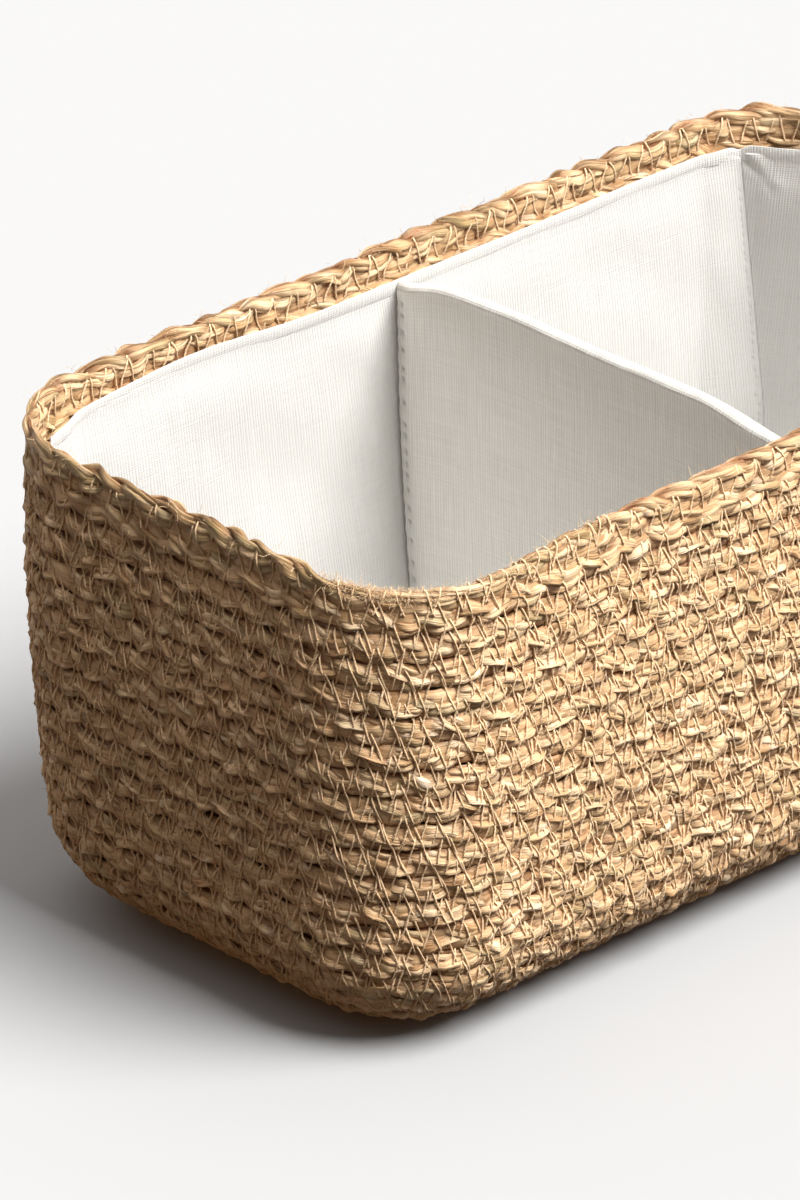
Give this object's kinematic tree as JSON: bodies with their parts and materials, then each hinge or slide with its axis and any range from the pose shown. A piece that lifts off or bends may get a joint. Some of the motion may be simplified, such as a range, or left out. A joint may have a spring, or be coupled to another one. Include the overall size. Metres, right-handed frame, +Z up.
{
  "type": "divided storage basket",
  "caption": "Rectangular seagrass storage basket of stitched plait with rounded corners, cloth lining and a padded divider.",
  "frame": {"origin": "centre of the footprint, at the underside of the base", "axes": "+X along the basket's length, +Y across its width, +Z up; the corner where the plait ends is at -X -Y"},
  "size_m": [0.351, 0.188, 0.162],
  "materials": {
    "seagrass_plait": "dry plaited seagrass, satin to matt",
    "rim_plait": "dry plaited seagrass, satin",
    "lining_cloth": "matt slub-weave off-white cloth",
    "divider_cloth": "matt slub-weave off-white cloth",
    "divider_board": "plain stiff board, hidden"
  },
  "bodies": {
    "root": {"base_core": "seagrass_plait", "base_round_01": "seagrass_plait", "base_round_02": "seagrass_plait", "base_round_03": "seagrass_plait", "base_round_04": "seagrass_plait", "base_round_05": "seagrass_plait", "edge_round_06": "seagrass_plait", "edge_round_07": "seagrass_plait", "edge_round_08": "seagrass_plait", "edge_round_09": "seagrass_plait", "edge_round_10": "seagrass_plait", "edge_round_11": "seagrass_plait", "wall_round_12": "seagrass_plait", "wall_round_13": "seagrass_plait", "wall_round_14": "seagrass_plait", "wall_round_15": "seagrass_plait", "wall_round_16": "seagrass_plait", "wall_round_17": "seagrass_plait", "wall_round_18": "seagrass_plait", "wall_round_19": "seagrass_plait", "wall_round_20": "seagrass_plait", "wall_round_21": "seagrass_plait", "wall_round_22": "seagrass_plait", "wall_round_23": "seagrass_plait", "wall_round_24": "seagrass_plait", "rim_round": "rim_plait", "lining_back": "lining_cloth", "lining_left": "lining_cloth", "lining_front": "lining_cloth", "lining_right": "lining_cloth", "lining_bottom": "lining_cloth", "lining_hem": "lining_cloth", "divider_board": "divider_board", "divider_cover": "divider_cloth"}
  },
  "joints": []
}
